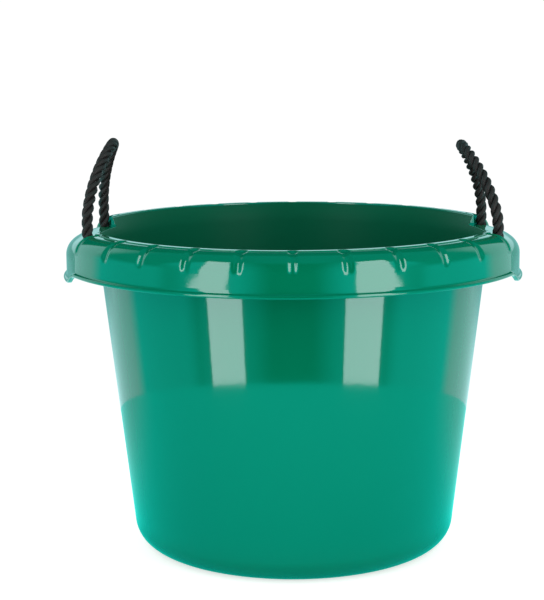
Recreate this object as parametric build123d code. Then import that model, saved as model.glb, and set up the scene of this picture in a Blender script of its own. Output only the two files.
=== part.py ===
from build123d import *
import math
import os

# Moulded shell, in mm. The axis of the tub is Z, its front is -Y and its handles are at -X and +X
height = 345.0
shell = 3.2
base_radius = 169.9
wall_draft = 6.58
base_corner = 28.0
foot_inner_radius = 122.0
foot_slope_width = 6.0
panel_lift = 4.0

# Flare that carries the wall out to the rim
flare_depth = 22.0
flare_radius = 52.0

# Plain rim: a flat crest, a round-shouldered flange and a bead along its lower edge
lip_round = 1.5
ridge_width = 8.0
ridge_round = 0.5
ridge_slope = 0.4
ridge_height = 0.8
flange_reach = 29.2
flange_shoulder_drop = 2.3
shoulder_reach = 16.5
skirt_flare = 2.5
flange_depth = 42.0
bead_proud = 3.2
bead_height = 6.2
bead_round = 2.0
bead_wrap = 65.0
bead_foot_width = 4.6
crown_step = 1.0
root_depth = 1.5

# Lowered pad at each handle; the runs before and past the hole are angles, the crest's tips are lengths
pad_drop = 11.5
pad_lip_rise = 0.6
notch_overrun = 1.2
pad_overhang = 0.5
pad_skirt_drop = 11.0
pad_past_hole = 1.9
pad_end_run = 1.7
skirt_blend_run = 1.9
skirt_blend_before_hole = 4.6
blend_steps = 3
tip_beside_hole = 2.1
tip_past_hole = 8.4

# Flutes pressed into the shoulder of the rim; the pitch and the place beside a pad are angles
flute_round = 6.0
flute_depth = 1.3
flute_length = 15.0
flute_from_lip = 9.0
flute_pitch = 12.5
flutes_each_side = 4
flute_past_pad = 1.3

# Rope handles
rope_diameter = 12.0
rope_hole_diameter = 13.5
hole_from_pad_edge = 17.2
hole_angle = 20.0
hinge_above_crest = 8.5
end_gap = 2.5
loop_draw_in = (3.2, 16.0, 36.4, 62.4)
loop_heights = (13.0, 35.5, 59.5, 77.5)
loop_inset = (0.0, 3.5, 11.0, 20.0)
extra_lean_right = 8.0
corner_share = 0.45
knot_radius = 13.0
knot_length = 26.0
knot_gap = 0.4
tail_length = 11.0
tail_round = 3.0

# Sizes worked out from the ones above
draft = math.radians(wall_draft)
flare_start = height - flare_depth
wall_inner_start = base_radius + flare_start * math.tan(draft) - shell / math.cos(draft)
flare_centre_r = wall_inner_start + flare_radius * math.cos(draft)
flare_centre_z = flare_start - flare_radius * math.sin(draft)
pad_z = height - pad_drop
hinge_z = height + hinge_above_crest
pad_half_angle = hole_angle - skirt_blend_before_hole
pad_end_inner_angle = hole_angle + pad_past_hole
pad_end_outer_angle = pad_end_inner_angle + pad_end_run
skirt_blend_angle = pad_end_outer_angle + skirt_blend_run


def mix(plain, pad, share):
    """Value between the plain rim's and the pad's."""
    return plain + (pad - plain) * share


def smooth(t):
    """Ease from 0 to 1."""
    return t * t * (3 - 2 * t)


def flare_point(radius, z):
    """Point at height z on one face of the flare."""
    rise = (z - flare_centre_z) / radius
    return Vector(flare_centre_r - radius * math.sqrt(1 - rise * rise), z)


lip = flare_point(flare_radius, height - lip_round)
crest_edge = lip.X + ridge_width
ridge_foot = Vector(crest_edge + ridge_slope, height - ridge_height)
flange_shoulder_radius = lip.X + flange_reach
flange_foot_radius = flange_shoulder_radius + skirt_flare
pad_edge_radius = flange_shoulder_radius + pad_overhang
hole_circle_radius = pad_edge_radius - hole_from_pad_edge
hole_x = hole_circle_radius * math.cos(math.radians(hole_angle))
hole_y = hole_circle_radius * math.sin(math.radians(hole_angle))


def flare_edge(radius, start, end):
    """Arc along one face of the flare."""
    return ThreePointArc(start, flare_point(radius, (start.Y + end.Y) / 2), end)


def rounded_corner(start, corner, end, reach, inset):
    """Line, tangent arc and line round a corner; reach is the arc's start before any inset."""
    first = (start - corner).normalized()
    second = (end - corner).normalized()
    half = math.acos(first.dot(second)) / 2
    radius = reach * math.tan(half) - inset
    reach = radius / math.tan(half)
    middle = corner + (first + second).normalized() * (radius / math.sin(half) - radius)
    a = corner + first * reach
    b = corner + second * reach
    return [Line(start, a), ThreePointArc(a, middle, b), Line(b, end)]


def flange_outline(upper, lower):
    """Corners of the flange's outer face; upper and lower run from 0 on the plain rim to 1 at a pad."""
    top = mix(ridge_foot, flare_point(flare_radius - shell, pad_z), upper)
    plain_shoulder = Vector(flange_shoulder_radius, height - flange_shoulder_drop)
    shoulder = mix(plain_shoulder, Vector(pad_edge_radius, pad_z), upper)
    bottom = height - flange_depth - pad_skirt_drop * lower
    skirt = Vector(mix(flange_foot_radius, pad_edge_radius, lower), bottom + bead_height)
    return top, shoulder, skirt, bottom


def flange_section(upper, lower):
    """Closed section of the flange, rooted in the flare; X is the radius and Y the height."""
    top, shoulder, skirt, bottom = flange_outline(upper, lower)
    bead_r = skirt.X + bead_proud
    wrap = math.radians(bead_wrap)
    bead_centre = Vector(bead_r - bead_round, bottom + bead_round)
    side = wrap / 2 - math.pi / 4
    bead_top = bead_centre + Vector(math.cos(wrap), math.sin(wrap)) * bead_round
    bead_side = bead_centre + Vector(math.cos(side), math.sin(side)) * bead_round
    bead_low = Vector(bead_centre.X, bottom)
    inner_low = Vector(bead_r - bead_foot_width, bottom)
    down = (shoulder - top).normalized()
    away = (skirt - shoulder).normalized()
    in_down = Vector(down.Y, -down.X)
    in_away = Vector(away.Y, -away.X)
    inner_corner = shoulder + (in_down + in_away) * (shell / (1 + in_down.dot(in_away)))
    inner_skirt = skirt + in_away * shell
    crown = top + in_down * shell
    web = flare_point(flare_radius - shell / 2, crown.Y - crown_step)
    root = flare_point(flare_radius - shell / 2, top.Y)
    edges = [Line(root, top)]
    edges += rounded_corner(top, shoulder, skirt, shoulder_reach, 0)
    edges.append(TangentArc(skirt, bead_top, tangent=away))
    edges.append(ThreePointArc(bead_top, bead_side, bead_low))
    edges.append(Line(bead_low, inner_low))
    edges.append(Line(inner_low, inner_skirt))
    edges += rounded_corner(inner_skirt, inner_corner, crown, shoulder_reach, shell)
    edges.append(Line(crown, web))
    edges.append(Line(web, root))
    return make_face(Wire(edges))


def stand_up(face, angle):
    """Section turned upright and swung round the tub's axis."""
    return face.rotate(Axis.X, 90).rotate(Axis.Z, angle)


def bowl():
    """Base with its foot ring, wall, flare and crest ridge, all round."""
    corner_r = base_radius + base_corner * math.tan(draft) - base_corner / math.cos(draft)
    outward = Vector(math.cos(draft), -math.sin(draft))
    diagonal = Vector(math.cos(math.pi / 4 + draft / 2), -math.sin(math.pi / 4 + draft / 2))
    centre = Vector(corner_r, base_corner)
    small = base_corner - shell
    slope_start = foot_inner_radius - foot_slope_width
    inner_start = Vector(wall_inner_start, flare_start)
    outer_start = inner_start + outward * shell
    ridge_side = Vector(crest_edge, height - ridge_round)
    ridge_root = ridge_foot + (ridge_foot - ridge_side).normalized() * root_depth
    ridge_under = flare_point(flare_radius - shell, ridge_root.Y - crown_step)
    crest_in = Vector(lip.X + lip_round, height)
    crest_out = Vector(crest_edge - ridge_round, height)
    turn = 1 - math.cos(math.pi / 4)
    crest_round = Vector(crest_edge - ridge_round * turn, height - ridge_round * turn)
    lip_middle = Vector(lip.X + lip_round * turn, height - lip_round * turn)
    edges = [
        Line((0, panel_lift), (slope_start, panel_lift)),
        Line((slope_start, panel_lift), (foot_inner_radius, 0)),
        Line((foot_inner_radius, 0), (corner_r, 0)),
        ThreePointArc((corner_r, 0), centre + diagonal * base_corner, centre + outward * base_corner),
        Line(centre + outward * base_corner, outer_start),
        flare_edge(flare_radius - shell, outer_start, ridge_under),
        Line(ridge_under, ridge_root),
        Line(ridge_root, ridge_side),
        ThreePointArc(ridge_side, crest_round, crest_out),
        Line(crest_out, crest_in),
        ThreePointArc(crest_in, lip_middle, lip),
        flare_edge(flare_radius, lip, inner_start),
        Line(inner_start, centre + outward * small),
        ThreePointArc(centre + outward * small, centre + diagonal * small, (corner_r, shell)),
        Line((corner_r, shell), (foot_inner_radius - shell / 2, shell)),
        Line((foot_inner_radius - shell / 2, shell), (slope_start - shell / 2, panel_lift + shell)),
        Line((slope_start - shell / 2, panel_lift + shell), (0, panel_lift + shell)),
        Line((0, panel_lift + shell), (0, panel_lift)),
    ]
    return revolve(stand_up(make_face(Wire(edges)), 0), Axis.Z)


def crest_foot():
    """Foot that carries the crest down to the pad's level beside the pad, on the +X +Y quarter."""
    low = flare_point(flare_radius - shell / 2, pad_z - crown_step)
    high = flare_point(flare_radius - shell / 2, ridge_foot.Y - crown_step)
    face = make_face(Polyline(low, (crest_edge, low.Y), (crest_edge, high.Y), high, close=True))
    return revolve(stand_up(face, pad_half_angle), Axis.Z, skirt_blend_angle - pad_half_angle)


def notch(side):
    """Cutter that lowers the crest at one pad, with straight tips inside the holes and sloping ends."""
    low = pad_z + pad_lip_rise
    near = crest_edge * math.sin(math.radians(pad_end_inner_angle))
    far = crest_edge * math.sin(math.radians(pad_end_outer_angle))
    top = low + (height - low) * notch_overrun
    wide = near + (far - near) * notch_overrun
    tip_x = hole_x - rope_hole_diameter / 2 - tip_beside_hole
    tip_y = hole_y - tip_past_hole
    reach = pad_edge_radius + shell
    ends = make_face(Polyline((-near, low), (near, low), (wide, top), (-wide, top), close=True))
    gap = make_face(Polyline((-tip_y, low), (tip_y, low), (tip_y, top), (-tip_y, top), close=True))
    outer = extrude(Plane.YZ.offset(side * tip_x) * ends, side * (reach - tip_x))
    return outer.fuse(extrude(Plane.YZ * gap, side * reach))


def pad_end():
    """Flange between a pad and the plain rim, on the +X +Y quarter."""
    span = skirt_blend_angle - pad_half_angle
    step = (pad_end_inner_angle - pad_half_angle) / blend_steps
    angles = [pad_half_angle + step * i for i in range(blend_steps)]
    angles += [pad_end_inner_angle, pad_end_outer_angle, skirt_blend_angle]
    sections = []
    for angle in angles:
        upper = 1 if angle < pad_end_outer_angle else 0
        lower = smooth((skirt_blend_angle - angle) / span)
        sections.append(stand_up(flange_section(upper, lower), angle))
    return [loft([a, b], ruled=True) for a, b in zip(sections, sections[1:])]


def flute(angle):
    """Round-ended tool for a flute that follows the shoulder of the plain rim up to the crest."""
    top, shoulder, skirt = flange_outline(0, 0)[:3]
    first = (skirt - shoulder).normalized()
    second = (top - shoulder).normalized()
    half = math.acos(first.dot(second)) / 2
    radius = shoulder_reach * math.tan(half)
    centre = shoulder + (first + second).normalized() * (radius / math.sin(half))
    low_turn = math.asin((height - flute_length - centre.Y) / radius)
    top_turn = math.atan2(-second.X, second.Y)
    turns = (low_turn, (low_turn + top_turn) / 2, top_turn)
    tool_radius = radius + flute_round - flute_depth
    arc = [centre + Vector(math.cos(turn), math.sin(turn)) * tool_radius for turn in turns]
    end = arc[2] + second * ((arc[2].X - lip.X - flute_from_lip) / -second.X)
    low, middle, high, end = [(p.X, 0, p.Y) for p in (*arc, end)]
    path = Wire([ThreePointArc(low, middle, high), Line(high, end)])
    tool = sweep(Plane(path @ 0, z_dir=path % 0) * Circle(flute_round), path=path)
    tool = tool.fuse(*[Pos(*point) * Sphere(flute_round) for point in (low, end)])
    return tool.rotate(Axis.Z, angle)


def tub():
    """Moulded tub with its rim, pads, flutes and rope holes."""
    plain = flange_section(0, 0)
    pad = flange_section(1, 1)
    ends = []
    for piece in [*pad_end(), crest_foot()]:
        ends += [piece, mirror(piece, Plane.XZ), mirror(piece, Plane.YZ)]
        ends.append(mirror(mirror(piece, Plane.XZ), Plane.YZ))
    for side in (0, 180):
        ends.append(revolve(stand_up(plain, side + skirt_blend_angle), Axis.Z, 180 - 2 * skirt_blend_angle))
        ends.append(revolve(stand_up(pad, side - pad_half_angle), Axis.Z, 2 * pad_half_angle))
    body = bowl().fuse(*ends)
    end_flute = 90 - pad_end_outer_angle - flute_past_pad
    turns = [step * flute_pitch for step in range(-flutes_each_side, flutes_each_side + 1)]
    cuts = [flute(face + turn) for face in (90, 270) for turn in (-end_flute, *turns, end_flute)]
    for x in (-hole_x, hole_x):
        for y in (-hole_y, hole_y):
            cuts.append(Pos(x, y, pad_z) * Cylinder(rope_hole_diameter / 2, 4 * shell))
    return body.cut(notch(-1), notch(1)).cut(*cuts)


def loop_points():
    """Corners of the loop's path from its hinge line, as inset from the tub's side, run and rise."""
    half = [(0.0, hole_y, 0.0)]
    for inset, draw_in, rise in zip(loop_inset, loop_draw_in, loop_heights):
        half.append((inset, hole_y - draw_in, rise))
    return half + [(inset, -run, rise) for inset, run, rise in reversed(half)]


def corner_radii(points):
    """Bend radii that leave a short straight between neighbouring bends."""
    radii = []
    for a, b, c in zip(points, points[1:], points[2:]):
        first = b - a
        second = c - b
        half = math.radians(first.get_angle(second)) / 2
        radii.append(corner_share * min(first.length, second.length) / math.tan(half))
    return radii


def rope_loop():
    """Loop above the left pad, ending in round ends on the hinge line."""
    points = [Vector(-hole_x + inset, run, hinge_z + rise) for inset, run, rise in loop_points()]
    radii = corner_radii(points)
    path = FilletPolyline(*points, radius=radii)
    rope = sweep(Plane(path @ 0, z_dir=path % 0) * Circle(rope_diameter / 2), path=path)
    print("holes", round(hole_x, 3), round(hole_y, 3))
    print("rope path", round(path.length, 1), "bends", [round(r, 1) for r in radii])
    print("rope volume", round(rope.volume), round(math.pi * rope_diameter ** 2 / 4 * path.length))
    caps = [Pos(*point) * Sphere(rope_diameter / 2) for point in (points[0], points[-1])]
    return rope.fuse(*caps)


def knot():
    """Run through the hole, stopper knot and short tail, with the top of the pad at the origin."""
    top = -shell - knot_gap
    half = knot_length / 2
    bulb = Pos(0, 0, top - half) * scale(Sphere(knot_radius), by=(1, 1, half / knot_radius))
    shank_top = hinge_z - pad_z - rope_diameter / 2 - end_gap
    shank_low = top - half
    shank = Pos(0, 0, (shank_top + shank_low) / 2) * Cylinder(rope_diameter / 2, shank_top - shank_low)
    tail_low = top - knot_length - tail_length
    tail = Pos(0, 0, (shank_low + tail_low) / 2) * Cylinder(rope_diameter / 2, shank_low - tail_low)
    tail = fillet(tail.edges().group_by(Axis.Z)[0], tail_round)
    return bulb.fuse(shank, tail)


left_loop = rope_loop()
right_loop = mirror(left_loop, Plane.YZ)
right_hinge = Axis((hole_x, 0, hinge_z), (0, 1, 0))

nodes = {
    "tub_body": tub(),
    "left_rope_loop": left_loop,
    "right_rope_loop": right_loop.rotate(right_hinge, -extra_lean_right),
}
for side_name, x in (("left", -hole_x), ("right", hole_x)):
    for end_name, y in (("front", -hole_y), ("rear", hole_y)):
        nodes[f"{side_name}_{end_name}_knot"] = Pos(x, y, pad_z) * knot()

os.makedirs("parts", exist_ok=True)
for name, solid in nodes.items():
    export_step(solid, f"parts/{name}.step")
    print(name, round(solid.volume), solid.bounding_box())
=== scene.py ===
import itertools
import logging
import math
from dataclasses import dataclass
from enum import Enum
from functools import partial, reduce

import bpy
import numpy as np
from mathutils import Matrix, Vector


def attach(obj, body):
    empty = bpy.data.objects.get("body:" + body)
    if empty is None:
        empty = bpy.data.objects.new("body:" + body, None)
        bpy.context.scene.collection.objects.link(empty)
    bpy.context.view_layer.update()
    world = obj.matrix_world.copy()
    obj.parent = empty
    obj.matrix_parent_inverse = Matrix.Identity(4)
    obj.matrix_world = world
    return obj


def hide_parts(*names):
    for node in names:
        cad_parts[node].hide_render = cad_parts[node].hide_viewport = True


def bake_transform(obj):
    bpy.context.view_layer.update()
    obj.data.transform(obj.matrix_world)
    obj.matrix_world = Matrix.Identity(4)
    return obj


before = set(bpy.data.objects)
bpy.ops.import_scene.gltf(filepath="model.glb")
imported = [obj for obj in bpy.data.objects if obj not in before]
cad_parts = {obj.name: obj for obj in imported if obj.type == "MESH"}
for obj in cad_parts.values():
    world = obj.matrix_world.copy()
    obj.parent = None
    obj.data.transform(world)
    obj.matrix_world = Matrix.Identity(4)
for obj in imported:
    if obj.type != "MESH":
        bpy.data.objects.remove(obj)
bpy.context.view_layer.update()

log = logging.getLogger("feed_tub")
Colour = tuple[float, float, float, float]


class Side(Enum):
    """Side of the tub that a handle is on, as the sign of its X."""

    LEFT = -1
    RIGHT = 1

    @property
    def label(self) -> str:
        """The side's name in the frame, in lower case."""
        return self.name.lower()


class HoleEnd(Enum):
    """End of a handle, as the sign of its Y."""

    FRONT = -1
    REAR = 1

    @property
    def label(self) -> str:
        """The end's name in the frame, in lower case."""
        return self.name.lower()


def mix(a: np.ndarray, b: np.ndarray, share: float) -> np.ndarray:
    """Point at a share of the way from a to b."""
    return a + (b - a) * share


def ease(t: float) -> float:
    """Ease a position from 0 to 1, held to that range."""
    t = min(max(t, 0.0), 1.0)
    return t * t * (3 - 2 * t)


def line_points(start: np.ndarray, end: np.ndarray, count: int) -> list:
    """A count of points along a line, without its last, where the next stretch begins."""
    return [mix(start, end, i / count) for i in range(count)]


def bow_points(start: np.ndarray, middle: np.ndarray, end: np.ndarray, count: int) -> list:
    """Points along a bow through three points, without its last.

    Args:
        start: First point.
        middle: Point half-way along.
        end: Point where the next stretch begins.
        count: How many points.

    Returns:
        The points.
    """
    pull = 2 * middle - (start + end) / 2
    steps = [i / count for i in range(count)]
    return [(1 - t) ** 2 * start + 2 * t * (1 - t) * pull + t * t * end for t in steps]


def corner_points(
    start: np.ndarray, corner: np.ndarray, end: np.ndarray, reach: float, counts: tuple,
) -> list:
    """Line, tangent arc and line round a corner, without the last point.

    Args:
        start: First point.
        corner: The sharp corner.
        end: Point where the next stretch begins.
        reach: Distance from the corner to each end of the arc.
        counts: Points on the first line, the arc and the second line.

    Returns:
        The points.
    """
    first = (start - corner) / np.linalg.norm(start - corner)
    second = (end - corner) / np.linalg.norm(end - corner)
    half = math.acos(float(np.clip(first @ second, -1, 1))) / 2
    radius = reach * math.tan(half)
    bisector = (first + second) / np.linalg.norm(first + second)
    centre = corner + bisector * radius / math.sin(half)
    spread = math.pi / 2 - half
    across = first - bisector * (first @ bisector)
    across /= np.linalg.norm(across)
    arc = []
    for i in range(counts[1]):
        turn = spread * (1 - 2 * i / counts[1])
        arc.append(centre - bisector * radius * math.cos(turn) + across * radius * math.sin(turn))
    points = line_points(start, corner + first * reach, counts[0])
    return points + arc + line_points(corner + second * reach, end, counts[2])


def add_mesh(name: str, verts: np.ndarray, faces: list) -> bpy.types.Object:
    """Make a smooth mesh object.

    Args:
        name: Name of the object.
        verts: Corner positions.
        faces: Corner numbers of each face.

    Returns:
        The object, linked to the scene.
    """
    mesh = bpy.data.meshes.new(name)
    mesh.from_pydata(verts.tolist(), [], faces)
    mesh.shade_smooth()
    mesh.update()
    obj = bpy.data.objects.new(name, mesh)
    bpy.context.scene.collection.objects.link(obj)
    return obj


class Ramp(Enum):
    """Form of a ramp between two values."""

    STRAIGHT = "LINEAR"
    SMOOTH = "SMOOTHSTEP"


@dataclass
class NodeKit:
    """Adds and links the nodes of one tree."""

    tree: bpy.types.NodeTree

    def add(self, kind: str) -> bpy.types.Node:
        """Add a node, by the name of its type without the prefix."""
        return self.tree.nodes.new(f"ShaderNode{kind}")

    def feed(self, value: object, socket: bpy.types.NodeSocket) -> None:
        """Give a socket its value.

        Args:
            value: Another node's output to link, or a plain value to set.
            socket: The input.
        """
        if isinstance(value, bpy.types.NodeSocket):
            self.tree.links.new(value, socket)
        else:
            socket.default_value = value

    def fill(self, node: bpy.types.Node, values: dict) -> bpy.types.Node:
        """Give a node's inputs their values.

        Args:
            node: The node.
            values: Value of each input, by the input's name.

        Returns:
            The same node.
        """
        for name, value in values.items():
            self.feed(value, node.inputs[name])
        return node

    def place(self, output: str) -> tuple:
        """Read a position or direction.

        Args:
            output: Name of the coordinates.

        Returns:
            Its X, Y and Z.
        """
        apart = self.add("SeparateXYZ")
        self.feed(self.add("TexCoord").outputs[output], apart.inputs["Vector"])
        return tuple(apart.outputs[name] for name in "XYZ")

    def noise(self, scale: float, detail: float = 2.0) -> bpy.types.NodeSocket:
        """Make a noise over an object.

        Args:
            scale: How fine it is.
            detail: How many finer layers it has.

        Returns:
            Its level, from 0 to 1.
        """
        spot = self.add("TexCoord").outputs["Object"]
        made = self.fill(self.add("TexNoise"), {"Vector": spot, "Scale": scale, "Detail": detail})
        return made.outputs["Fac"]

    def bumped(self, height: object, strength: float, distance: float) -> bpy.types.NodeSocket:
        """Turn a height from 0 to 1 into a bump of a strength and a distance."""
        made = self.fill(self.add("Bump"), {"Height": height, "Strength": strength, "Distance": distance})
        return made.outputs["Normal"]

    def maths(self, operation: str, first: object, second: object = 0.0) -> bpy.types.NodeSocket:
        """Combine two values.

        Args:
            operation: Name of the sum.
            first: Its first value.
            second: Its second value, where it has one.

        Returns:
            The result.
        """
        node = self.add("Math")
        node.operation = operation
        self.feed(first, node.inputs[0])
        self.feed(second, node.inputs[1])
        return node.outputs["Value"]

    def product(self, *values: object) -> bpy.types.NodeSocket:
        """Multiply several values."""
        return reduce(partial(self.maths, "MULTIPLY"), values)

    def ramped(
        self, value: object, reach: tuple, levels: tuple = (0.0, 1.0), form: Ramp = Ramp.SMOOTH,
    ) -> bpy.types.NodeSocket:
        """Pass a value through a ramp.

        Args:
            value: The value.
            reach: Where the ramp begins and ends.
            levels: Results at the beginning and the end.
            form: How it runs between them.

        Returns:
            The result.
        """
        node = self.add("MapRange")
        node.interpolation_type = form.value
        limits = zip(("From Min", "From Max", "To Min", "To Max"), (*reach, *levels))
        return self.fill(node, {"Value": value, **dict(limits)}).outputs["Result"]

    def blended(self, share: object, first: object, second: object) -> bpy.types.NodeSocket:
        """Mix two colours.

        Args:
            share: How far from the first to the second.
            first: Colour at share 0.
            second: Colour at share 1.

        Returns:
            The mixed colour.
        """
        node = self.add("Mix")
        node.data_type = "RGBA"
        node.clamp_factor = False
        return self.fill(node, {"Factor": share, "A": first, "B": second}).outputs["Result"]

    def shown(self, plain: object, mirrored: object, seen: object) -> bpy.types.NodeSocket:
        """Choose a colour by the kind of ray.

        Args:
            plain: Colour for diffuse rays, which light the object.
            mirrored: Colour for glossy and transmission rays.
            seen: Colour for camera rays.

        Returns:
            The chosen colour.
        """
        rays = self.add("LightPath").outputs
        reflected = self.maths("MAXIMUM", rays["Is Glossy Ray"], rays["Is Transmission Ray"])
        either = self.maths("MAXIMUM", rays["Is Camera Ray"], reflected)
        return self.blended(either, plain, self.blended(rays["Is Camera Ray"], mirrored, seen))


def start_material(name: str) -> tuple:
    """Start a node material.

    Args:
        name: Name of the material.

    Returns:
        The material, a kit for its nodes and its shader.
    """
    made = bpy.data.materials.new(name)
    made.use_nodes = True
    return made, NodeKit(made.node_tree), made.node_tree.nodes["Principled BSDF"]


@dataclass(frozen=True)
class Plastic:
    """Glossy moulded plastic, with faint colour drift, a fine mould grain and light scuffs near the foot."""

    colour: Colour = (0.0, 0.175, 0.082, 1.0)
    colour_low: Colour = (0.0, 0.155, 0.0725, 1.0)
    drift_scale: float = 6.0
    sheen_tint: Colour = (0.713, 1.0, 1.0, 1.0)
    index: float = 1.72
    roughness: float = 0.06
    scuff_roughness: float = 0.30
    scuff_height: float = 0.05
    scuff_scale: float = 90.0
    scuff_detail: float = 6.0
    grain: float = 0.02
    grain_height: float = 0.0005
    grain_scale: float = 240.0

    def material(self) -> bpy.types.Material:
        """Build the node material.

        Returns:
            The material.
        """
        made, kit, shader = start_material("moulded plastic")
        height = kit.place("Object")[2]
        near_foot = kit.ramped(height, (self.scuff_height, 0.0), form=Ramp.STRAIGHT)
        worn = kit.product(near_foot, kit.noise(self.scuff_scale, self.scuff_detail))
        gloss = (self.roughness, self.scuff_roughness)
        kit.fill(shader, {
            "Base Color": kit.blended(kit.noise(self.drift_scale), self.colour, self.colour_low),
            "Roughness": kit.ramped(worn, (0.0, 1.0), gloss, Ramp.STRAIGHT),
            "IOR": self.index,
            "Specular Tint": self.sheen_tint,
            "Normal": kit.bumped(kit.noise(self.grain_scale), self.grain, self.grain_height),
        })
        return made


@dataclass(frozen=True)
class Fibre:
    """Black rope fibre, a little dusty, with a fine yarn bump."""

    colour: Colour = (0.012, 0.009, 0.009, 1.0)
    dusty: Colour = (0.042, 0.033, 0.033, 1.0)
    dust_scale: float = 60.0
    dust_detail: float = 5.0
    specular: float = 0.18
    roughness: float = 0.42
    dusty_roughness: float = 0.6
    yarn: float = 0.5
    yarn_height: float = 0.0003
    yarn_scale: float = 900.0

    def material(self) -> bpy.types.Material:
        """Build the node material.

        Returns:
            The material.
        """
        made, kit, shader = start_material("black rope")
        dust = kit.noise(self.dust_scale, self.dust_detail)
        gloss = (self.roughness, self.dusty_roughness)
        kit.fill(shader, {
            "Base Color": kit.blended(dust, self.colour, self.dusty),
            "Roughness": kit.ramped(dust, (0.0, 1.0), gloss, Ramp.STRAIGHT),
            "Specular IOR Level": self.specular,
            "Normal": kit.bumped(kit.noise(self.yarn_scale), self.yarn, self.yarn_height),
        })
        return made


@dataclass
class PhotoCamera:
    """Camera at the photograph's place and angle."""

    place: tuple = (0.0, -1.756, 0.5568)
    pitch: float = math.radians(9.53)
    yaw: float = math.radians(0.73)
    roll: float = math.radians(-0.36)
    lens: float = 99.3
    sensor: float = 36.0

    def build(self) -> bpy.types.Object:
        """Make the camera and set it as the scene's.

        Returns:
            The camera object.
        """
        data = bpy.data.cameras.new("photo_camera")
        data.sensor_fit = "VERTICAL"
        data.sensor_height = self.sensor
        data.lens = self.lens
        camera = bpy.data.objects.new("photo_camera", data)
        turn = Matrix.Rotation(self.yaw, 4, "Z") @ Matrix.Rotation(math.pi / 2 - self.pitch, 4, "X")
        turn = turn @ Matrix.Rotation(self.roll, 4, "Z")
        camera.matrix_world = Matrix.Translation(Vector(self.place)) @ turn
        bpy.context.scene.collection.objects.link(camera)
        bpy.context.scene.camera = camera
        return camera


@dataclass
class Rope:
    """Three-strand rope laid along a route."""

    diameter: float = 0.012
    strands: int = 3
    lay: float = 0.031
    strand_radius: float = 0.0027
    sides: int = 18
    lobes: int = 6
    lobe_depth: float = 0.045
    lobe_twist: float = 2.0
    spacing: float = 0.0009
    fewest_rings: int = 8
    route_order: int = 3
    route_steps: int = 32
    steep_limit: float = 0.9

    def follow(self, name: str, points: list) -> np.ndarray:
        """Read the smooth line through a route's points.

        Args:
            name: Name for the route.
            points: Corners of the route.

        Returns:
            Evenly spaced points along it.
        """
        data = bpy.data.curves.new(name, "CURVE")
        data.dimensions = "3D"
        data.resolution_u = self.route_steps
        spline = data.splines.new("NURBS")
        spline.points.add(len(points) - 1)
        for point, place in zip(spline.points, points):
            point.co = (*place, 1.0)
        spline.order_u = self.route_order
        spline.use_endpoint_u = True
        route = bpy.data.objects.new(name, data)
        mesh = bpy.data.meshes.new_from_object(route)
        line = np.array([vert.co for vert in mesh.vertices])
        bpy.data.objects.remove(route)
        bpy.data.meshes.remove(mesh)
        gone = np.concatenate([[0.0], np.cumsum(np.linalg.norm(np.diff(line, axis=0), axis=1))])
        even = np.linspace(0.0, gone[-1], max(int(gone[-1] / self.spacing), self.fewest_rings))
        return np.stack([np.interp(even, gone, line[:, axis]) for axis in range(3)], axis=1)

    def lay_up(self, name: str, line: np.ndarray, squeeze: float = 1.0) -> bpy.types.Object:
        """Twist the strands round a line.

        Args:
            name: Name of the mesh.
            line: Evenly spaced points along the rope's middle.
            squeeze: Share of the rope's full thickness.

        Returns:
            The rope's mesh object.
        """
        ahead = np.gradient(line, axis=0)
        ahead /= np.linalg.norm(ahead, axis=1)[:, None]
        across = np.zeros_like(line)
        flat = abs(ahead[0][2]) < self.steep_limit
        side = np.cross(ahead[0], (0.0, 0.0, 1.0) if flat else (1.0, 0.0, 0.0))
        # Carry one sideways direction along the line, so that only the lay twists the strands
        for i, way in enumerate(ahead):
            side = side - way * (side @ way)
            side = side / np.linalg.norm(side)
            across[i] = side
        over = np.cross(ahead, across)
        gone = np.arange(len(line)) * np.linalg.norm(line[1] - line[0])
        radius = self.strand_radius * squeeze
        offset = self.diameter / 2 * squeeze - radius
        verts = []
        faces = []
        for strand in range(self.strands):
            twist = 2 * math.pi * (gone / self.lay + strand / self.strands)
            out = np.cos(twist)[:, None] * across + np.sin(twist)[:, None] * over
            middle = line + out * offset
            along = np.gradient(middle, axis=0)
            along /= np.linalg.norm(along, axis=1)[:, None]
            first = out - along * np.sum(out * along, axis=1)[:, None]
            first /= np.linalg.norm(first, axis=1)[:, None]
            second = np.cross(along, first)
            base = len(verts)
            for i in range(len(line)):
                for number in range(self.sides):
                    angle = 2 * math.pi * number / self.sides
                    lobe = math.cos(self.lobes * angle - self.lobe_twist * twist[i])
                    reach = radius * (1 - self.lobe_depth * (1 - lobe) / 2)
                    outward = math.cos(angle) * first[i] + math.sin(angle) * second[i]
                    verts.append(middle[i] + reach * outward)
            for i in range(len(line) - 1):
                for number in range(self.sides):
                    a = base + i * self.sides + number
                    b = base + i * self.sides + (number + 1) % self.sides
                    faces.append((a, b, b + self.sides, a + self.sides))
            last = base + (len(line) - 1) * self.sides
            faces.append(tuple(range(base + self.sides - 1, base - 1, -1)))
            faces.append(tuple(range(last, last + self.sides)))
        return add_mesh(name, np.array(verts), faces)


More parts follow.
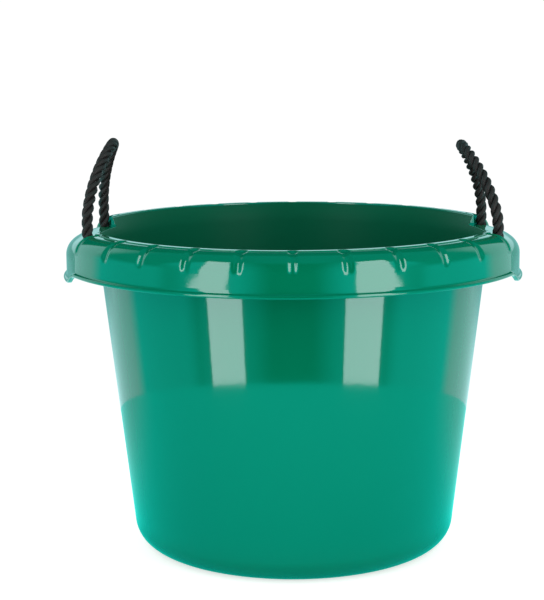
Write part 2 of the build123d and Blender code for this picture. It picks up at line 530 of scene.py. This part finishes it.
@dataclass
class RopeHandle:
    """One rope handle: its loop and the stopper knots under the rim."""

    side: Side
    rope: Rope
    hole: tuple
    pad_height: float
    hinge_height: float = 0.3535
    loop_inset: tuple = (0.0, 0.0035, 0.011, 0.020)
    loop_draw_in: tuple = (0.0032, 0.016, 0.0364, 0.0624)
    loop_rise: tuple = (0.013, 0.0355, 0.0595, 0.0775)
    extra_lean_right: float = math.radians(8.0)
    end_depth: float = 0.013
    bend_below: float = 0.008
    bend_above: float = 0.012
    knot_squeeze: float = 0.82
    knot_start: float = 0.002
    knot_depth: float = 0.0095
    wrap_radius: float = 0.0076
    wrap_turn: float = math.pi / 3
    wrap_steps: int = 7
    wrap_drop: float = 0.011
    wrap_climb: float = 0.0014
    tail_shift: tuple = (0.003, -0.002)
    tail_drops: tuple = (0.010, 0.017, 0.024)

    @property
    def hole_x(self) -> float:
        """X of this handle's holes, with its sign."""
        return self.side.value * self.hole[0]

    def lean(self, inset: float, rise: float) -> tuple:
        """Place of a loop point in the plane across the hinge.

        Args:
            inset: Distance inward from the hinge.
            rise: Height above the hinge.

        Returns:
            X and Z.
        """
        turn = self.extra_lean_right if self.side is Side.RIGHT else 0.0
        inward = inset * math.cos(turn) + rise * math.sin(turn)
        upward = rise * math.cos(turn) - inset * math.sin(turn)
        return self.hole_x - self.side.value * inward, self.hinge_height + upward

    def route(self) -> list:
        """Corners of the rope's line from the rear knot to the front one.

        Returns:
            The points.
        """
        low = self.pad_height - self.end_depth
        heights = (low, (low + self.hinge_height) / 2, self.hinge_height)
        half = [(self.hole_x, self.hole[1], z) for z in heights]
        for inset, draw_in, rise in zip(self.loop_inset, self.loop_draw_in, self.loop_rise):
            x, z = self.lean(inset, rise)
            half.append((x, self.hole[1] - draw_in, z))
        return half + [(x, -y, z) for x, y, z in reversed(half)]

    def knot_route(self, end: HoleEnd) -> list:
        """Corners of the rope's line round a stopper knot.

        Args:
            end: Which hole the knot is under.

        Returns:
            The points, from the hole down to the tail.
        """
        x, y = self.hole_x, end.value * self.hole[1]
        top = self.pad_height - self.knot_depth
        points = [(x, y, self.pad_height - self.knot_start), (x, y, top)]
        for step in range(self.wrap_steps):
            right = self.wrap_radius * math.cos(step * self.wrap_turn)
            back = self.wrap_radius * math.sin(step * self.wrap_turn)
            drop = self.wrap_drop - self.wrap_climb * step
            points.append((x + right, y + back, top - drop))
        tuck, *tail = self.tail_drops
        points.append((x + self.tail_shift[0], y + self.tail_shift[1], top - tuck))
        return points + [(x, y, top - drop) for drop in tail]

    def build(self, finish: bpy.types.Material) -> None:
        """Args:
            finish: The rope's material.
        """
        body = f"{self.side.label}_handle"
        line = self.rope.follow(f"{body}_route", self.route())
        loop = self.rope.lay_up(f"{body}_rope", line)
        loop.data.materials.append(finish)
        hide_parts(f"{self.side.label}_rope_loop")
        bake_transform(loop)
        for end in HoleEnd:
            name = f"{self.side.label}_{end.label}_knot"
            knot_line = self.rope.follow(f"{name}_route", self.knot_route(end))
            knot = self.rope.lay_up(f"{name}_rope", knot_line, self.knot_squeeze)
            knot.data.materials.append(finish)
            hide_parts(name)
            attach(knot, "tub")
            log.info("%s", name)


@dataclass
class TubShell:
    """The moulded tub: base, wall, flare, beaded rim, lowered pads and flutes.

    Lengths are in metres, angles round the tub in degrees and angles in its section in radians.
    """

    height: float = 0.345
    shell: float = 0.0032
    base_radius: float = 0.1699
    draft: float = math.radians(6.58)
    base_corner: float = 0.028
    foot_inner: float = 0.122
    foot_slope: float = 0.006
    panel_lift: float = 0.004
    panel_centre: float = 0.002
    flare_depth: float = 0.022
    flare_radius: float = 0.052
    lip_round: float = 0.0015
    ridge_width: float = 0.008
    ridge_round: float = 0.0005
    ridge_slope: float = 0.0004
    ridge_height: float = 0.0008
    flange_reach: float = 0.0292
    shoulder_drop: float = 0.0023
    shoulder_reach: float = 0.0165
    skirt_flare: float = 0.0025
    flange_depth: float = 0.042
    bead_proud: float = 0.0032
    bead_height: float = 0.0062
    bead_round: float = 0.002
    bead_wrap: float = math.radians(65.0)
    bead_foot: float = 0.0046
    hollow_share: float = 0.35
    round_share: float = 0.41
    crown_step: float = 0.001
    pad_drop: float = 0.0115
    pad_lip_rise: float = 0.0006
    pad_overhang: float = 0.0005
    pad_skirt_drop: float = 0.011
    hole_angle: float = 20.0
    pad_past_hole: float = 1.9
    pad_end_run: float = 1.7
    skirt_blend_run: float = 1.9
    skirt_blend_before_hole: float = 4.6
    hole: tuple = (0.209861, 0.076383)
    hole_diameter: float = 0.0135
    hole_sides: int = 40
    hole_cut_walls: float = 3.0
    tip_beside_hole: float = 0.0021
    tip_past_hole: float = 0.0084
    flute_round: float = 0.006
    flute_depth: float = 0.0013
    flute_length: float = 0.015
    flute_from_lip: float = 0.009
    flute_pitch: float = 12.5
    flutes_each_side: int = 4
    flute_past_pad: float = 1.3
    flute_edge: float = 0.001
    flute_margin: float = 0.002
    flute_window: float = 2.5
    flute_span: float = 1.8
    flute_arc_rows: int = 60
    flute_line_rows: int = 24
    floor_rows: int = 6
    foot_rows: int = 4
    wall_rows: int = 16
    corner_rows: int = 14
    inner_corner_rows: int = 12
    flare_rows: int = 12
    web_rows: int = 10
    crown_rows: int = 3
    inner_shoulder_rows: tuple = (4, 8, 4)
    inner_skirt_rows: int = 4
    inner_foot_rows: int = 3
    bead_rows: int = 10
    hollow_rows: int = 6
    shoulder_rows: tuple = (8, 16, 8)
    crest_rows: tuple = (4, 5, 6)
    coarse_step: float = 0.75
    fine_step: float = 0.2
    pad_end_span: tuple = (15.0, 26.0)
    tip_step: float = 0.02
    sharp_angle: float = math.radians(50.0)

    def __post_init__(self) -> None:
        """Work out the flare's centre and the rim's radii."""
        self.flare_start = self.height - self.flare_depth
        self.wall_start = (
            self.base_radius + self.flare_start * math.tan(self.draft) - self.shell / math.cos(self.draft)
        )
        self.centre_r = self.wall_start + self.flare_radius * math.cos(self.draft)
        self.centre_z = self.flare_start - self.flare_radius * math.sin(self.draft)
        self.pad_z = round(self.height - self.pad_drop, 6)
        self.lip = self.flare_at(self.flare_radius, self.height - self.lip_round)
        self.shoulder_r = self.lip[0] + self.flange_reach
        self.foot_r = self.shoulder_r + self.skirt_flare
        self.pad_edge_r = self.shoulder_r + self.pad_overhang
        self.pad_end = self.hole_angle + self.pad_past_hole + self.pad_end_run
        self.tip_x = self.hole[0] - self.hole_diameter / 2 - self.tip_beside_hole
        self.tip_angle = math.degrees(math.asin((self.hole[1] - self.tip_past_hole) / self.lip[0]))

    def flare_at(self, radius: float, z: float) -> np.ndarray:
        """Radius and height of the flare's face that has this arc radius, at a height."""
        rise = (z - self.centre_z) / radius
        return np.array([self.centre_r - radius * math.sqrt(1 - rise * rise), z])

    @staticmethod
    def from_handle(azimuth: float) -> float:
        """Angle between an azimuth and the nearer handle, from 0 to 90 degrees."""
        return abs((azimuth + 90.0) % 180.0 - 90.0)

    def shares(self, azimuth: float) -> tuple:
        """How much of the pad's form the rim has at an azimuth.

        Args:
            azimuth: Angle from +X in degrees.

        Returns:
            Shares for the top of the rim and for its skirt.
        """
        turn = self.from_handle(azimuth)
        far = self.pad_end + self.skirt_blend_run
        near = self.hole_angle - self.skirt_blend_before_hole
        upper = ease((self.pad_end - turn) / self.pad_end_run)
        lower = ease((far - turn) / (far - near))
        return upper, lower

    def outline(self, upper: float, lower: float) -> tuple:
        """Corners of the rim's outer face.

        Args:
            upper: Share of the pad's form at the top.
            lower: Share of the pad's form at the skirt.

        Returns:
            The top, the shoulder, the start of the bead and the height of the lower edge.
        """
        crest_edge = self.lip[0] + self.ridge_width
        ridge_foot = np.array([crest_edge + self.ridge_slope, self.height - self.ridge_height])
        top = mix(ridge_foot, self.flare_at(self.flare_radius - self.shell, self.pad_z), upper)
        plain = np.array([self.shoulder_r, self.height - self.shoulder_drop])
        shoulder = mix(plain, np.array([self.pad_edge_r, self.pad_z]), upper)
        bottom = self.height - self.flange_depth - self.pad_skirt_drop * lower
        radius = self.foot_r + (self.pad_edge_r - self.foot_r) * lower
        return top, shoulder, np.array([radius, bottom + self.bead_height]), bottom

    def base_and_wall(self) -> tuple:
        """Lower outside and inside of the section, the same all round.

        Returns:
            Points from the underside's middle up to the flare, and from the flare down to the floor's middle.
        """
        corner_r = self.base_radius + self.base_corner * (math.tan(self.draft) - 1 / math.cos(self.draft))
        corner = np.array([corner_r, self.base_corner])
        outward = np.array([math.cos(self.draft), -math.sin(self.draft)])
        slope_start = self.foot_inner - self.foot_slope
        small = self.base_corner - self.shell
        wall_top = np.array([self.wall_start, self.flare_start])
        panel = np.array([self.panel_centre, self.panel_lift])
        slope = np.array([slope_start, self.panel_lift])
        foot = np.array([self.foot_inner, 0.0])
        outside = line_points(panel, slope, self.floor_rows) + line_points(slope, foot, self.foot_rows)
        outside += line_points(foot, np.array([corner_r, 0.0]), self.foot_rows)
        sweep = math.pi / 2 - self.draft
        for i in range(self.corner_rows):
            turn = -math.pi / 2 + sweep * i / self.corner_rows
            outside.append(corner + self.base_corner * np.array([math.cos(turn), math.sin(turn)]))
        wall_foot = corner + outward * self.base_corner
        outside += line_points(wall_foot, wall_top + outward * self.shell, self.wall_rows)
        inside = line_points(wall_top, corner + outward * small, self.wall_rows)
        for i in range(self.inner_corner_rows):
            turn = -self.draft - sweep * i / self.inner_corner_rows
            inside.append(corner + small * np.array([math.cos(turn), math.sin(turn)]))
        raised = self.panel_lift + self.shell
        foot = np.array([self.foot_inner - self.shell / 2, self.shell])
        slope = np.array([slope_start, raised])
        inside += line_points(np.array([corner_r, self.shell]), foot, self.foot_rows)
        inside += line_points(foot, slope, self.foot_rows)
        inside += line_points(slope, np.array([0.0, raised]), self.floor_rows)
        return outside, inside

    def rim(self, azimuth: float) -> tuple:
        """Section of the flare and rim between the wall's two faces.

        Args:
            azimuth: Angle from +X in degrees.

        Returns:
            Points up the outside, round the flange and the crest and down the inside, and the slice of them
            that is the outer face, where the flutes are pressed.
        """
        top, shoulder, skirt, bottom = self.outline(*self.shares(azimuth))
        down = (shoulder - top) / np.linalg.norm(shoulder - top)
        away = (skirt - shoulder) / np.linalg.norm(skirt - shoulder)
        in_down = np.array([down[1], -down[0]])
        in_away = np.array([away[1], -away[0]])
        # The inner face runs one wall thickness inside the outer one
        inner_corner = shoulder + (in_down + in_away) * (self.shell / (1 + in_down @ in_away))
        inner_skirt = skirt + in_away * self.shell
        crown = top + in_down * self.shell
        web = self.flare_at(self.flare_radius - self.shell, crown[1] - self.crown_step)
        bead_r = skirt[0] + self.bead_proud
        bead = np.array([bead_r - self.bead_round, bottom + self.bead_round])
        inner_low = np.array([bead_r - self.bead_foot, bottom])
        inner_reach = self.shoulder_reach - self.shell / math.tan(math.acos(-down @ away) / 2)
        crest = self.crest(azimuth, top[1])
        points = []
        for i in range(self.web_rows):
            z = self.flare_start + (web[1] - self.flare_start) * i / self.web_rows
            points.append(self.flare_at(self.flare_radius - self.shell, z))
        points += line_points(web, crown, self.crown_rows)
        points += corner_points(crown, inner_corner, inner_skirt, inner_reach, self.inner_shoulder_rows)
        points += line_points(inner_skirt, inner_low, self.inner_skirt_rows)
        points += line_points(inner_low, np.array([bead[0], bottom]), self.inner_foot_rows)
        for i in range(self.bead_rows):
            turn = -math.pi / 2 + (math.pi / 2 + self.bead_wrap) * i / self.bead_rows
            points.append(bead + self.bead_round * np.array([math.cos(turn), math.sin(turn)]))
        bead_top = bead + self.bead_round * np.array([math.cos(self.bead_wrap), math.sin(self.bead_wrap)])
        hollow = mix((bead_top + skirt) / 2, np.array([skirt[0], bead_top[1]]), self.hollow_share)
        points += bow_points(bead_top, hollow, skirt, self.hollow_rows)
        first = len(points)
        points += corner_points(skirt, shoulder, crest[0], self.shoulder_reach, self.shoulder_rows)
        points += crest[:-1]
        face = slice(first, len(points))
        for i in range(self.flare_rows):
            z = crest[-1][1] + (self.flare_start - crest[-1][1]) * i / self.flare_rows
            points.append(self.flare_at(self.flare_radius, z))
        return np.array(points), face

    def crest(self, azimuth: float, flange_top: float) -> list:
        """Flat-topped crest with its tips beside the rope holes, or the low lip at a pad.

        Args:
            azimuth: Angle from +X in degrees.
            flange_top: Height at which the flange meets the crest.

        Returns:
            Points from the flange over the crest to the edge of the flare's inner face.
        """
        turn = self.from_handle(azimuth)
        cut = self.tip_x / math.cos(math.radians(turn))
        if turn > self.tip_angle:
            level = self.height
            edge = min(self.lip[0] + self.ridge_width, cut)
            outer, inner = self.ridge_round, self.lip_round
        else:
            level = self.pad_z + self.pad_lip_rise
            edge = max(self.flare_at(self.flare_radius - self.shell, self.pad_z)[0], cut)
            outer = inner = self.pad_lip_rise / 2
        lip = self.flare_at(self.flare_radius, level - inner)
        top = np.array([edge + self.ridge_slope, flange_top])
        side = np.array([edge, level - outer])
        out = np.array([edge - outer, level])
        back = np.array([min(lip[0] + inner, out[0]), level])
        outer_turn = mix((side + out) / 2, np.array([side[0], level]), self.round_share)
        inner_turn = mix((back + lip) / 2, np.array([lip[0], level]), self.round_share)
        slope_rows, round_rows, flat_rows = self.crest_rows
        points = line_points(top, side, slope_rows) + bow_points(side, outer_turn, out, round_rows)
        points += line_points(out, back, flat_rows) + bow_points(back, inner_turn, lip, round_rows)
        return points + [lip]

    def flutes(self) -> list:
        """Tools that press the flutes.

        Returns:
            For each flute its azimuth in degrees and the middle line of its tool.
        """
        top, shoulder, skirt = self.outline(0, 0)[:3]
        first = (skirt - shoulder) / np.linalg.norm(skirt - shoulder)
        second = (top - shoulder) / np.linalg.norm(top - shoulder)
        half = math.acos(float(first @ second)) / 2
        radius = self.shoulder_reach * math.tan(half)
        centre = shoulder + (first + second) / np.linalg.norm(first + second) * radius / math.sin(half)
        low = math.asin((self.height - self.flute_length - centre[1]) / radius)
        high = math.atan2(-second[0], second[1])
        reach = radius + self.flute_round - self.flute_depth
        turns = np.linspace(low, high, self.flute_arc_rows)
        arc = centre + reach * np.stack([np.cos(turns), np.sin(turns)], axis=1)
        end = arc[-1] + second * (arc[-1][0] - self.lip[0] - self.flute_from_lip) / -second[0]
        steps = range(1, self.flute_line_rows + 1)
        line = np.concatenate([arc, [mix(arc[-1], end, i / self.flute_line_rows) for i in steps]])
        last = 90 - self.pad_end - self.flute_past_pad
        numbers = range(-self.flutes_each_side, self.flutes_each_side + 1)
        places = (-last, *(number * self.flute_pitch for number in numbers), last)
        return [(face + place, line) for face in (90, 270) for place in places]

    def azimuths(self) -> np.ndarray:
        """Azimuths of the sections, closer together at flutes and pad ends.

        Returns:
            Sorted angles in degrees.
        """
        turns = set(np.round(np.arange(0, 360, self.coarse_step), 3))
        near = np.arange(-self.flute_span, self.flute_span + self.fine_step / 2, self.fine_step)
        for azimuth, _ in self.flutes():
            turns |= set(np.round((azimuth + near) % 360, 3))
        ends = np.arange(*self.pad_end_span, self.fine_step)
        clear = ends[np.abs(ends - self.tip_angle) > self.tip_step]
        tip = self.tip_angle + np.array([-self.tip_step, self.tip_step])
        for side, sign in itertools.product((0, 180), (-1, 1)):
            turns |= set(np.round((side + sign * np.concatenate([clear, tip])) % 360, 3))
        return np.array(sorted(turns))

    def press(self, points: np.ndarray, azimuth: float, lines: list) -> np.ndarray:
        """Press the flutes into the rim's outer face.

        Args:
            points: Radius and height of the face's points at one azimuth.
            azimuth: That azimuth in degrees.
            lines: The tools, from flutes().

        Returns:
            The points, moved where a tool presses them.
        """
        for centre, line in lines:
            turn = math.radians((azimuth - centre + 180.0) % 360.0 - 180.0)
            if abs(turn) > math.radians(self.flute_window):
                continue
            across = points[:, 0] * math.sin(turn)
            flat = np.stack([points[:, 0] * math.cos(turn), points[:, 1]], axis=1)
            apart = np.linalg.norm(flat[:, None, :] - line[None, :, :], axis=2)
            close = line[np.argmin(apart, axis=1)]
            away = flat - close
            distance = np.linalg.norm(away, axis=1)
            tool = np.sqrt(np.maximum(self.flute_round ** 2 - across ** 2, 0.0))
            lack = tool - distance
            # A smooth step instead of a sharp one rounds the flute's edge
            push = 0.5 * (lack + np.sqrt(lack ** 2 + self.flute_edge ** 2))
            pressed = (np.abs(across) < self.flute_round) & (lack > -self.flute_margin)
            push = np.where(pressed, push, 0.0)
            points = points + away / distance[:, None] * push[:, None]
        return points

    def build(self, finish: bpy.types.Material, shaded_inside_finish: bpy.types.Material) -> bpy.types.Object:
        """Make and dress the tub.

        Args:
            finish: The material of the outside and the rim.
            shaded_inside_finish: The material of the inside, the same plastic in a darker colour as painted
                shade.

        Returns:
            The tub's mesh object.
        """
        outside, inside = self.base_and_wall()
        lines = self.flutes()
        turns = self.azimuths()
        columns = []
        for azimuth in turns:
            rim, face = self.rim(azimuth)
            rim[face] = self.press(rim[face], azimuth, lines)
            section = np.concatenate([np.array(outside), rim, np.array(inside)])
            angle = math.radians(azimuth)
            columns.append(np.stack(
                [section[:, 0] * math.cos(angle), section[:, 0] * math.sin(angle), section[:, 1]], axis=1
            ))
        rows = len(columns[0])
        verts = np.concatenate(columns)
        low = len(verts)
        verts = np.concatenate([
            verts, [[0.0, 0.0, self.panel_lift], [0.0, 0.0, self.panel_lift + self.shell]]
        ])
        faces = []
        for i in range(len(turns)):
            a = i * rows
            b = (i + 1) % len(turns) * rows
            faces.append((low, b, a))
            for j in range(rows - 1):
                faces.append((a + j, b + j, b + j + 1, a + j + 1))
            faces.append((low + 1, a + rows - 1, b + rows - 1))
        tub = add_mesh("tub_shell", verts, faces)
        tub.data.materials.append(finish)
        tub.data.materials.append(shaded_inside_finish)
        # Each section gives rows + 1 faces. Those from the crest's inner edge down are the inside, which gets
        # the darker material of painted shade
        shaded_inside_start = rows - len(inside) - self.flare_rows
        marks = [1 if (number % (rows + 1)) > shaded_inside_start else 0 for number in range(len(faces))]
        tub.data.polygons.foreach_set("material_index", marks)
        self.drill(tub)
        tub.data.shade_smooth()
        tub.data.set_sharp_from_angle(angle=self.sharp_angle)
        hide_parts("tub_body")
        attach(tub, "tub")
        log.info("tub shell, %d sections of %d points", len(turns), rows)
        return tub

    def drill(self, tub: bpy.types.Object) -> None:
        """Cut the four rope holes.

        Args:
            tub: The tub's mesh object.
        """
        verts = []
        faces = []
        count = self.hole_sides
        reach = self.hole_cut_walls * self.shell
        for side, end in itertools.product(Side, HoleEnd):
            base = len(verts)
            for z in (self.pad_z - reach, self.pad_z + reach):
                for i in range(count):
                    angle = 2 * math.pi * i / count
                    x = side.value * self.hole[0] + self.hole_diameter / 2 * math.cos(angle)
                    y = end.value * self.hole[1] + self.hole_diameter / 2 * math.sin(angle)
                    verts.append((x, y, z))
            for i in range(count):
                j = (i + 1) % count
                faces.append((base + i, base + j, base + count + j, base + count + i))
            faces.append(tuple(range(base + count - 1, base - 1, -1)))
            faces.append(tuple(range(base + count, base + 2 * count)))
        cutter = add_mesh("hole_cutter", np.array(verts), faces)
        cut = tub.modifiers.new("rope holes", "BOOLEAN")
        cut.object = cutter
        cut.operation = "DIFFERENCE"
        cut.solver = "EXACT"
        bpy.context.view_layer.update()
        done = bpy.data.meshes.new_from_object(tub.evaluated_get(bpy.context.evaluated_depsgraph_get()))
        tub.modifiers.clear()
        tub.data = done
        bpy.data.objects.remove(cutter)


@dataclass
class Studio:
    """Pale round floor, a tall bent panel on each side and a white back behind a dim front.

    A reach is where a change begins and ends. On the floor it is in metres. In the world it is measured on
    one part of the direction's unit vector: X to the right, Y to the back and Z up.
    """

    black: Colour = (0.0, 0.0, 0.0, 1.0)
    neutral: Colour = (1.0, 1.0, 1.0, 1.0)
    white: Colour = (1.03, 1.03, 1.03, 1.0)
    floor_radius: float = 0.64
    floor_sides: int = 128
    floor_colour: Colour = (0.8, 0.8, 0.8, 1.0)
    floor_tint: Colour = (0.04, 0.8, 0.74, 1.0)
    floor_tint_behind: Colour = (0.22, 0.76, 0.72, 1.0)
    floor_white: Colour = (0.66, 0.66, 0.66, 1.0)
    floor_glow: Colour = (0.0, 0.94, 0.82, 1.0)
    floor_glow_behind: Colour = (0.12, 0.58, 0.54, 1.0)
    floor_reach: tuple = (-0.04, 0.30)
    foot_shadow_reach: tuple = (0.165, 0.23)
    foot_shadow_share: float = 0.55
    panel_radius: float = 1.6
    panel_height: float = 0.25
    panel_rows: int = 24
    panel_level: float = 4.6
    left_edges: tuple = (
        (-40.0, 27.5, 48.5), (-12.0, 28.5, 49.0), (0.8, 30.3, 48.2), (1.4, 29.6, 45.3), (2.1, 28.4, 42.1),
        (21.5, 29.0, 42.4), (35.0, 30.9, 44.7), (41.0, 33.0, 46.4), (55.0, 39.4, 54.8),
    )
    right_edges: tuple = (
        (-40.0, 30.5, 52.0), (-12.0, 29.5, 52.0), (0.8, 28.0, 50.0), (1.4, 27.9, 47.7), (2.0, 27.8, 45.9),
        (21.5, 28.9, 46.1), (34.5, 31.2, 48.9), (40.0, 33.5, 51.2), (55.0, 40.2, 59.0),
    )
    plain_reach: tuple = (-0.6, 0.4)
    plain_levels: tuple = (0.15, 0.95)
    side_colour: Colour = (0.03, 1.0, 0.93, 1.0)
    side_reach: tuple = (-0.3, 0.3)
    side_levels: tuple = (1.38, 1.56)
    front_reach: tuple = (-0.62, -0.3)
    front_share: float = 0.06
    high_reach: tuple = (0.05, 0.35)
    high_share: float = 0.35
    behind_reach: tuple = (0.42, 0.62)
    behind_share: float = 0.22
    halo_reach: tuple = (0.12, 0.50)
    halo_fade_reach: tuple = (0.72, 0.88)
    halo_fade_share: float = 0.5
    halo_end_reach: tuple = (-0.36, -0.20)
    halo_rise_reach: tuple = (-0.36, -0.05)
    halo_levels: tuple = (0.7, 1.2)
    back_colour: Colour = (0.74, 1.24, 1.28, 1.0)
    back_reach: tuple = (0.29, 0.48)
    back_top_reach: tuple = (0.19, 0.30)
    wide_reach: tuple = (0.74, 0.84)
    wide_top_reach: tuple = (0.55, 0.80)
    band_low_reach: tuple = (-0.26, -0.16)
    band_high_reach: tuple = (0.08, 0.14)
    band_share: float = 0.35

    def floor(self) -> bpy.types.Object:
        """Make the round floor, pale to the camera. In reflections it glows brightest in front of the tub,
        and that glow is dimmed near the tub's foot as a painted shadow.

        Returns:
            The floor object.
        """
        verts = []
        for i in range(self.floor_sides):
            turn = 2 * math.pi * i / self.floor_sides
            verts.append((self.floor_radius * math.cos(turn), self.floor_radius * math.sin(turn), 0.0))
        floor = add_mesh("floor", np.array(verts), [tuple(range(self.floor_sides))])
        made, kit, shader = start_material("pale floor")
        x, y, _ = kit.place("Object")
        square = kit.maths("ADD", kit.maths("POWER", x, 2.0), kit.maths("POWER", y, 2.0))
        # Painted shadow: the glow seen in reflections is dimmed near the tub's foot, where the tub shades the
        # floor
        clear = kit.ramped(kit.maths("SQRT", square), self.foot_shadow_reach, (self.foot_shadow_share, 1.0))
        behind = kit.ramped(y, self.floor_reach)
        glow = kit.blended(clear, self.black, kit.blended(behind, self.floor_glow, self.floor_glow_behind))
        tint = kit.blended(behind, self.floor_tint, self.floor_tint_behind)
        kit.fill(shader, {
            "Base Color": kit.shown(self.floor_colour, tint, self.floor_colour),
            "Specular IOR Level": 0.0,
            "Emission Color": kit.shown(self.black, glow, self.floor_white),
            "Emission Strength": 1.0,
        })
        floor.data.materials.append(made)
        return floor

    def panel(self, side: Side, edges: tuple) -> bpy.types.Object:
        """Make a tall soft panel, bent round the tub.

        Args:
            side: The side that it lights.
            edges: From low to high: the angle above the tub's middle, and the angles of the inner and the
                outer edge from the front, all in degrees.

        Returns:
            The panel object.
        """
        rises, inner, outer = np.array(edges).T
        levels = sorted({*np.linspace(rises[0], rises[-1], self.panel_rows + 1), *rises})
        verts = []
        for up in levels:
            flat = self.panel_radius * math.cos(math.radians(up))
            high = self.panel_height + self.panel_radius * math.sin(math.radians(up))
            for angles in (inner, outer):
                turn = math.radians(side.value * float(np.interp(up, rises, angles)))
                verts.append((flat * math.sin(turn), -flat * math.cos(turn), high))
        faces = [(2 * i, 2 * i + 1, 2 * i + 3, 2 * i + 2) for i in range(len(levels) - 1)]
        panel = add_mesh(f"{side.label}_panel", np.array(verts), faces)
        made, kit, shader = start_material(f"{side.label} panel light")
        kit.fill(shader, {
            "Base Color": self.black,
            "Specular IOR Level": 0.0,
            "Emission Color": self.neutral,
            "Emission Strength": self.panel_level,
        })
        panel.data.materials.append(made)
        panel.visible_camera = False
        return panel

    def side_glow(self, kit: NodeKit, way: tuple) -> bpy.types.NodeSocket:
        """Glow of the sides and round the panels, as reflections show it.

        Args:
            kit: Kit for the world's nodes.
            way: The direction's X, Y and Z.

        Returns:
            The glow's colour.
        """
        x, y, z = way
        away = kit.maths("ABSOLUTE", x)
        halo = kit.product(
            kit.ramped(away, self.halo_reach),
            kit.ramped(away, self.halo_fade_reach, (1.0, self.halo_fade_share)),
            kit.ramped(y, self.halo_end_reach, (1.0, 0.0)),
            kit.ramped(z, self.halo_rise_reach, self.halo_levels),
        )
        level = kit.product(
            kit.ramped(y, self.front_reach, (self.front_share, 1.0)),
            kit.ramped(z, self.high_reach, (1.0, self.high_share)),
        )
        glow = kit.product(
            kit.maths("MAXIMUM", level, halo),
            kit.ramped(x, self.side_reach, self.side_levels),
            kit.ramped(y, self.behind_reach, (1.0, self.behind_share)),
        )
        return kit.blended(glow, self.black, self.side_colour)

    def back_share(self, kit: NodeKit, way: tuple) -> bpy.types.NodeSocket:
        """Share of the white back in a direction, dimmed in a low band at the middle.

        Args:
            kit: Kit for the world's nodes.
            way: The direction's X, Y and Z.

        Returns:
            The share.
        """
        x, y, z = way
        slope = kit.maths("DIVIDE", kit.maths("ABSOLUTE", x), y)
        band = kit.product(
            kit.ramped(z, self.band_low_reach),
            kit.ramped(z, self.band_high_reach, (1.0, 0.0)),
        )
        clear = kit.maths(
            "MAXIMUM",
            kit.ramped(slope, self.wide_reach, (self.band_share, 1.0)),
            kit.ramped(band, (0.0, 1.0), (1.0, self.band_share)),
        )
        wide = kit.product(
            kit.ramped(slope, self.wide_reach),
            kit.ramped(z, self.wide_top_reach, (1.0, 0.0)),
        )
        low = kit.maths("MAXIMUM", kit.ramped(z, self.back_top_reach, (1.0, 0.0)), wide)
        return kit.product(kit.ramped(y, self.back_reach), low, clear)

    def surround(self) -> None:
        """Set the world: a plain soft level, and for reflections pale sides and a white back."""
        world = bpy.data.worlds.new("surround")
        bpy.context.scene.world = world
        world.use_nodes = True
        kit = NodeKit(world.node_tree)
        way = kit.place("Generated")
        plain = kit.blended(kit.ramped(way[1], self.plain_reach, self.plain_levels), self.black, self.neutral)
        mirrored = kit.blended(self.back_share(kit, way), self.side_glow(kit, way), self.back_colour)
        kit.feed(kit.shown(plain, mirrored, self.white), world.node_tree.nodes["Background"].inputs["Color"])

    def build(self) -> None:
        """Make the whole studio."""
        self.floor()
        self.panel(Side.LEFT, self.left_edges)
        self.panel(Side.RIGHT, self.right_edges)
        self.surround()
        log.info("studio")


def main() -> None:
    """Build the camera, the handles, the tub and the studio."""
    logging.basicConfig(level=logging.INFO, format="%(name)s: %(message)s")
    bpy.context.scene.view_settings.view_transform = "Standard"
    PhotoCamera().build()
    tub = TubShell()
    fibre = Fibre().material()
    for side in Side:
        RopeHandle(side, Rope(), tub.hole, tub.pad_z).build(fibre)
    # The inside is the same plastic with a darker colour, painted shade for the tub's shaded interior; it is
    # also rougher, with a lower index and more grain
    inside = Plastic(
        colour=(0.0, 0.125, 0.059, 1.0), colour_low=(0.0, 0.110, 0.052, 1.0),
        roughness=0.42, scuff_roughness=0.55, grain=0.08, index=1.2,
    )
    tub.build(Plastic().material(), inside.material())
    Studio().build()


if __name__ == "__main__":
    main()
